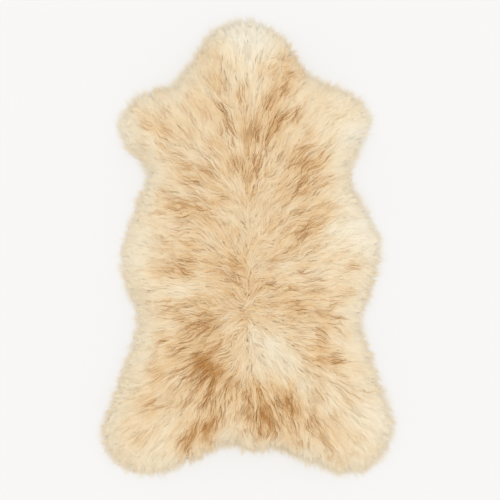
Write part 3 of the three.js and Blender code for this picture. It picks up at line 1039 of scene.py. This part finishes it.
def suede_material(leather):
    """Sheepskin leather, tanned and buffed to suede: a short nap with cloudy, slightly pressed areas."""
    finish = {"Roughness": 0.92, "Specular IOR Level": 0.15, "Sheen Weight": 0.3}
    material, tree, shader = new_material("Sheepskin leather, sueded", finish)
    place = add_node(tree, "ShaderNodeTexCoord", output="Object")
    clouds, nap = (
        add_node(tree, "ShaderNodeTexNoise", {"Vector": place, "Scale": 1 / size, "Detail": detail}, "Fac")
        for size, detail in ((70 * MM, 5.0), (leather.nap, 3.0))
    )
    mixed = add_node(tree, "ShaderNodeMath", {0: nap, 1: 0.35, 2: clouds}, operation="MULTIPLY_ADD")
    share = add_node(tree, "ShaderNodeMapRange", {"Value": mixed, "From Min": 0.5, "From Max": 0.85})
    ramp = add_node(tree, "ShaderNodeValToRGB", {"Fac": share}, "Color")
    stops = ramp.node.color_ramp.elements
    stops[0].color = leather.suede
    stops[1].color = leather.suede_dark
    tree.links.new(ramp, shader.inputs["Base Color"])
    bump = add_node(tree, "ShaderNodeBump", {"Strength": 0.5, "Distance": 0.3 * MM, "Height": nap})
    tree.links.new(bump, shader.inputs["Normal"])
    return material


def refill_underside(shape):
    """Makes the leather's flat underside anew, from its rim alone."""
    underside = [f for f in shape.faces if max(v.co.z for v in f.verts) < TOUCHING]
    bmesh.ops.delete(shape, geom=underside, context="FACES")
    rim = [e for e in shape.edges if e.is_boundary]
    filled = bmesh.ops.holes_fill(shape, edges=rim, sides=0)["faces"]
    bmesh.ops.triangulate(shape, faces=filled)
    bmesh.ops.recalc_face_normals(shape, faces=shape.faces)


def split_long_edges(shape):
    """Splits the fleece's long edges, so that it can be shaped more finely."""
    for _ in range(2):
        long_edges = [e for e in shape.edges if e.calc_length() > BED_EDGE]
        bmesh.ops.subdivide_edges(shape, edges=long_edges, cuts=1, use_grid_fill=True)
        bmesh.ops.triangulate(shape, faces=[f for f in shape.faces if len(f.verts) > 3])


def solid_copy(name, node, rework):
    """A smooth copy of a solid's mesh, with its doubles merged and its faces reworked."""
    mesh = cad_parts[node].data.copy()
    mesh.name = name
    mesh.materials.clear()
    shape = bmesh.new()
    shape.from_mesh(mesh)
    bmesh.ops.remove_doubles(shape, verts=shape.verts, dist=TOUCHING)
    rework(shape)
    shape.to_mesh(mesh)
    shape.free()
    mesh.shade_smooth()
    mesh.set_sharp_from_angle(angle=SHARP_ANGLE)
    return new_object(name, mesh)


def finish_piece(piece, slot, *nodes):
    """Ties a piece to the frame's one body, its finish, and any solids it stands for."""
    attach(piece, "root")
    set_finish(piece, slot)
    if nodes:
        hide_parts(*nodes)


def felt(bed):
    """Shapes the copy of the solid fleece as underwool, and gives it its tone."""
    count = len(bed.vertices)
    points, normals = np.empty(count * 3), np.empty(count * 3, np.float32)
    bed.vertices.foreach_get("co", points)
    bed.vertex_normals.foreach_get("vector", normals)
    points = points.reshape(-1, 3)
    # Lumpy, and sunk a little, on top
    push = BED_LUMPS * soft_noise(points[:, :2], 14 * MM, 31) - BED_DEPTH
    push *= smoothstep(points[:, 2], 8 * MM, 20 * MM)
    moved = points + normals.reshape(-1, 3) * push[:, None]
    # Drawn in at its rim
    inside, out = rim_distance(points[:, :2])
    draw_in = np.maximum(DRAWN_IN - inside, 0) * DRAWN_SHARE
    moved[:, :2] -= out * draw_in[:, None]
    # Nowhere higher than the hair lies, and still with some thickness
    _, tone, height = coat_charts()
    highest = np.maximum(sample(height, moved[:, :2]) - BED_DEPTH, LEATHER_TOP)
    moved[:, 2] = np.minimum(moved[:, 2], np.maximum(highest, BED_LEAST * points[:, 2]))
    bed.vertices.foreach_set("co", moved.ravel())
    tone = sample(tone, points[:, :2])
    bed.attributes.new("tone", "FLOAT", "POINT").data.foreach_set("value", tone)


def lay_floor(stage):
    """A plain floor, which belongs to the stage only."""
    mesh = bpy.data.meshes.new("Floor")
    corners = [(x * FLOOR_HALF, y * FLOOR_HALF, 0) for x, y in ((-1, -1), (1, -1), (1, 1), (-1, 1))]
    mesh.from_pydata(corners, [], [(0, 1, 2, 3)])
    finish = {"Base Color": stage.floor, "Roughness": 0.9, "Specular IOR Level": 0.1}
    mesh.materials.append(new_material("Backdrop paper, matte", finish)[0])
    new_object("floor", mesh)


def light_room(scene, stage):
    """Even light from all round, and one large soft lamp."""
    scene.world = bpy.data.worlds.new("Soft room")
    scene.world.use_nodes = True
    sky = scene.world.node_tree.nodes["Background"].inputs
    sky["Color"].default_value = (1.0, 1.0, 1.0, 1.0)
    sky["Strength"].default_value = stage.sky
    lamp = bpy.data.lights.new("Softbox", "SUN")
    lamp.angle = LAMP_SOFTNESS
    lamp.energy = stage.lamp
    softbox = new_object("Softbox", lamp)
    softbox.rotation_euler = Vector(LAMP_SHINES).to_track_quat("-Z", "Y").to_euler()
    scene.view_settings.view_transform = "Standard"


def hang_camera(scene, stage):
    """A camera that looks straight down."""
    eye = bpy.data.cameras.new("Camera")
    eye.lens = eye.sensor_width * (stage.camera_height - VIEW_HEIGHT) / VIEW_WIDTH
    scene.camera = new_object("Camera", eye)
    scene.camera.location = (*VIEW_MIDDLE, stage.camera_height)


class SHEEPSKIN_OT_skin(bpy.types.Operator):
    """Makes the tanned skin, a thin leather sheet that lies on the floor"""

    bl_idname = "sheepskin.skin"
    bl_label = "Make the tanned skin"

    def execute(self, context):
        sheet = solid_copy("tanned_skin", "skin", refill_underside)
        sheet.data.materials.append(suede_material(context.scene.sheepskin_leather))
        finish_piece(sheet, "tanned_skin", "skin")
        return {"FINISHED"}


class SHEEPSKIN_OT_underwool(bpy.types.Operator):
    """Makes the dense underwool that the hair grows from"""

    bl_idname = "sheepskin.underwool"
    bl_label = "Make the underwool"

    def execute(self, context):
        bed = solid_copy("underwool", "fleece", split_long_edges)
        felt(bed.data)
        bed.data.materials.append(underwool_material(context.scene.sheepskin_coat))
        finish_piece(bed, "wool", "fleece")
        return {"FINISHED"}


class SHEEPSKIN_OT_hair(bpy.types.Operator):
    """Grows the long locks of the outer coat and the short hair of the inner one"""

    bl_idname = "sheepskin.hair"
    bl_label = "Grow the hair"

    def execute(self, context):
        coat = context.scene.sheepskin_coat
        material = wool_material(coat)
        rim, tone, height = coat_charts()
        surface = lying_surface(tone, height)
        tree = hair_tree()
        # The pieces' first name, their hairs, the steps along each hair, and where one piece ends
        for kind, hairs, steps, regions in (
            ("locks", outer_hairs(coat, rim), 13, REGIONS),
            ("down", down_hairs(coat, rim), 5, DOWN_REGIONS),
            ("guard_hair", guard_hairs(coat, rim, tone), 22, DOWN_REGIONS),
            ("fringe", fringe_hairs(coat, rim), 8, DOWN_REGIONS),
        ):
            x, y = hairs["root"].T
            for name, low, high, side in regions:
                there = (y > low) & (y <= high) & (x * side >= 0)
                part = {label: values[there] for label, values in hairs.items()}
                piece = grow_hair(f"{kind}_{name}", part, steps, surface, tree, material)
                finish_piece(piece, "wool")
        bpy.data.objects.remove(surface)
        return {"FINISHED"}


class SHEEPSKIN_OT_sheet(bpy.types.Operator):
    bl_idname = "sheepskin.sheet"
    bl_label = "Declare the sheet"

    def execute(self, context):
        return {"FINISHED"}


class SHEEPSKIN_OT_stage(bpy.types.Operator):
    """Lays the floor, lights it softly and hangs the camera over it"""

    bl_idname = "sheepskin.stage"
    bl_label = "Set the stage"

    def execute(self, context):
        scene, stage = context.scene, context.scene.sheepskin_stage
        lay_floor(stage)
        light_room(scene, stage)
        hang_camera(scene, stage)
        return {"FINISHED"}


OPERATORS = (
    SHEEPSKIN_OT_skin,
    SHEEPSKIN_OT_underwool,
    SHEEPSKIN_OT_hair,
    SHEEPSKIN_OT_sheet,
    SHEEPSKIN_OT_stage,
)


class SHEEPSKIN_PT_build(bpy.types.Panel):
    """Lists the steps that build the sheepskin, and their settings"""

    bl_idname = "SHEEPSKIN_PT_build"
    bl_label = "Sheepskin"
    bl_space_type = "VIEW_3D"
    bl_region_type = "UI"
    bl_category = "Sheepskin"

    def draw(self, context):
        layout = self.layout
        for name in SETTINGS:
            group = getattr(context.scene, name)
            column = layout.column(heading=group.bl_rna.description)
            for setting in group.bl_rna.properties:
                if setting.identifier not in ("rna_type", "name"):
                    column.prop(group, setting.identifier)
        for operator in OPERATORS:
            layout.operator(operator.bl_idname)


SETTINGS = {
    "sheepskin_coat": SheepskinCoat,
    "sheepskin_leather": SheepskinLeather,
    "sheepskin_stage": SheepskinStage,
}
CLASSES = (*SETTINGS.values(), *OPERATORS, SHEEPSKIN_PT_build)


def register():
    """Registers the classes and puts their settings on the scene."""
    for cls in CLASSES:
        bpy.utils.register_class(cls)
    for name, group in SETTINGS.items():
        setattr(bpy.types.Scene, name, bpy.props.PointerProperty(type=group))


def unregister():
    """Takes the settings off the scene and unregisters the classes."""
    for name in SETTINGS:
        delattr(bpy.types.Scene, name)
    for cls in reversed(CLASSES):
        bpy.utils.unregister_class(cls)


def main():
    """Builds the sheepskin and its stage."""
    register()
    bpy.ops.sheepskin.skin()
    bpy.ops.sheepskin.underwool()
    bpy.ops.sheepskin.hair()
    bpy.ops.sheepskin.sheet()
    bpy.ops.sheepskin.stage()


if __name__ == "__main__":
    main()
